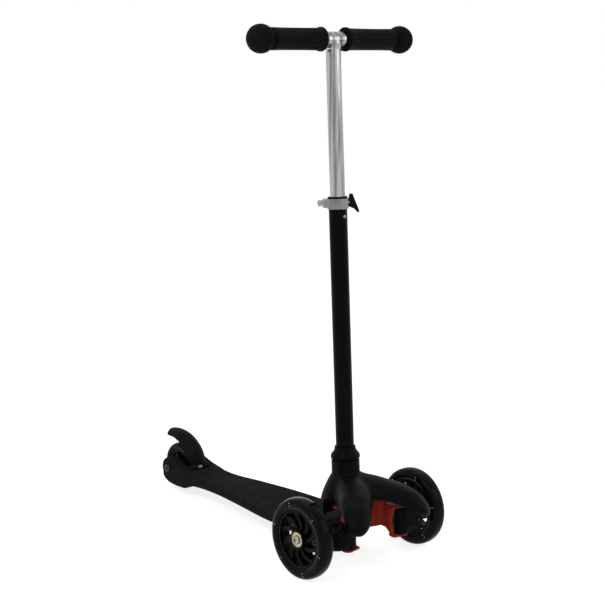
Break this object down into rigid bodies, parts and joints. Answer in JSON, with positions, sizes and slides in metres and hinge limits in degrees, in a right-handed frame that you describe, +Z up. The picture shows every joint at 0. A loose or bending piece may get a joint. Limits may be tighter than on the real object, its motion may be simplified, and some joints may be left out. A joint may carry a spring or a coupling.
{
  "type": "kick scooter",
  "caption": "Lean-to-steer kick scooter: front wheels on linked knuckles, a rear wheel with a fender brake, a narrow deck and a telescoping T bar.",
  "frame": {"origin": "on the ground under the middle of the scooter's whole length and width", "axes": "+Z up, -Y the way it rolls forward, +X the rider's left"},
  "size_m": [0.306, 0.5776, 0.7905],
  "materials": {
    "front_tyre": "smoky clear, glossy",
    "rear_tyre": "satin black polyurethane",
    "wheel_core": "glossy black",
    "bearing_steel": "warm polished steel",
    "zinc_steel": "bright zinc",
    "satin_alloy": "satin",
    "chromed_tube": "polished chrome",
    "stem_paint": "satin black paint",
    "collar_plastic": "satin black",
    "shell_plastic": "fine-grained black",
    "knuckle_plastic": "satin black",
    "red_plastic": "satin red",
    "deck_plastic": "textured charcoal",
    "fender_plastic": "satin charcoal",
    "grip_rubber": "matte black",
    "lever_plastic": "satin black"
  },
  "bodies": {
    "chassis": {"deck_board": "deck_plastic", "steering_bracket": "red_plastic", "deck_screw_1": "zinc_steel", "deck_screw_2": "zinc_steel", "deck_screw_3": "zinc_steel", "deck_screw_4": "zinc_steel", "kingpin_screw_left": "zinc_steel", "kingpin_screw_right": "zinc_steel", "centring_spring_left": "zinc_steel", "centring_spring_right": "zinc_steel", "rear_axle_bolt": "zinc_steel", "rear_axle_nut": "zinc_steel", "rear_axle_spacer_left": "zinc_steel", "rear_axle_spacer_right": "zinc_steel", "brake_pin": "zinc_steel", "brake_spring": "zinc_steel"},
    "steering_column": {"front_shell": "shell_plastic", "lean_pivot_bolt": "zinc_steel", "lean_pivot_nut": "zinc_steel", "stem_collar": "collar_plastic", "stem_outer_tube": "stem_paint", "stem_cross_pin": "zinc_steel", "stem_tube_bushing": "collar_plastic", "clamp_ring": "satin_alloy", "clamp_nut": "zinc_steel", "clamp_bolt": "zinc_steel", "clamp_lever_pin": "zinc_steel"},
    "clamp_lever": {"clamp_lever": "lever_plastic"},
    "lock_button": {"height_button": "satin_alloy"},
    "handlebar": {"handlebar_tee": "chromed_tube", "grip_left": "grip_rubber", "grip_right": "grip_rubber", "button_leaf_spring": "zinc_steel"},
    "tie_rod": {"tie_rod": "knuckle_plastic"},
    "knuckle_left": {"steering_knuckle_left": "knuckle_plastic", "front_axle_bolt_left": "zinc_steel", "front_axle_nut_left": "zinc_steel", "front_axle_spacer_left": "zinc_steel"},
    "front_wheel_left": {"front_tyre_left": "front_tyre", "front_wheel_core_left": "wheel_core", "front_bearing_left_outer": "bearing_steel", "front_bearing_left_inner": "bearing_steel"},
    "knuckle_right": {"steering_knuckle_right": "knuckle_plastic", "front_axle_bolt_right": "zinc_steel", "front_axle_nut_right": "zinc_steel", "front_axle_spacer_right": "zinc_steel"},
    "front_wheel_right": {"front_tyre_right": "front_tyre", "front_wheel_core_right": "wheel_core", "front_bearing_right_outer": "bearing_steel", "front_bearing_right_inner": "bearing_steel"},
    "rear_wheel": {"rear_tyre": "rear_tyre", "rear_wheel_core": "wheel_core", "rear_bearing_outer": "bearing_steel", "rear_bearing_inner": "bearing_steel"},
    "brake": {"brake_fender": "fender_plastic"}
  },
  "joints": [
    {"name": "lean", "type": "hinge", "parent": "chassis", "child": "steering_column", "pos_m": [0, -0.20971, 0.08], "axis": [0, 1, 0], "range_deg": [-10, 10], "stiffness_Nm_per_rad": 30, "deforming": ["centring_spring_left", "centring_spring_right"]},
    {"name": "steer_left", "type": "hinge", "parent": "chassis", "child": "knuckle_left", "pos_m": [0.054, -0.24371, 0.059], "axis": [0, 0, 1], "range_deg": [-6.8, 6.8]},
    {"name": "steer_right", "type": "hinge", "parent": "chassis", "child": "knuckle_right", "pos_m": [-0.054, -0.24371, 0.059], "axis": [0, 0, 1], "range_deg": [-6.8, 6.8]},
    {"name": "tie_rod_slide", "type": "slide", "parent": "chassis", "child": "tie_rod", "axis": [1, 0, 0], "range_m": [-0.0058, 0.0058]},
    {"name": "front_wheel_left_spin", "type": "hinge", "parent": "knuckle_left", "child": "front_wheel_left", "pos_m": [0.1125, -0.20971, 0.06], "axis": [1, 0, 0], "continuous": true},
    {"name": "front_wheel_right_spin", "type": "hinge", "parent": "knuckle_right", "child": "front_wheel_right", "pos_m": [-0.1125, -0.20971, 0.06], "axis": [1, 0, 0], "continuous": true},
    {"name": "rear_wheel_spin", "type": "hinge", "parent": "chassis", "child": "rear_wheel", "pos_m": [0, 0.24879, 0.04], "axis": [1, 0, 0], "continuous": true},
    {"name": "brake_press", "type": "hinge", "parent": "chassis", "child": "brake", "pos_m": [0, 0.20129, 0.046], "axis": [-1, 0, 0], "range_deg": [0, 9], "stiffness_Nm_per_rad": 0.6, "springref_deg": -17.19, "deforming": ["brake_spring"]},
    {"name": "bar_height", "type": "slide", "parent": "steering_column", "child": "handlebar", "axis": [0, 0.0523, 0.9986], "range_m": [0, 0.1]},
    {"name": "clamp_lever_swing", "type": "hinge", "parent": "steering_column", "child": "clamp_lever", "pos_m": [0.0267, -0.15035, 0.533], "axis": [0.6428, 0.765, -0.0401], "range_deg": [0, 50]},
    {"name": "button_press", "type": "slide", "parent": "steering_column", "child": "lock_button", "axis": [0, 0.9986, -0.0523], "range_m": [0, 0.002], "stiffness_N_per_m": 700, "springref_m": -0.001}
  ],
  "couplings": [
    {"joint": "steer_left", "follows": "lean", "ratio": 0.6667},
    {"joint": "steer_right", "follows": "lean", "ratio": 0.6667},
    {"joint": "tie_rod_slide", "follows": "lean", "m_per_rad": -0.032}
  ]
}
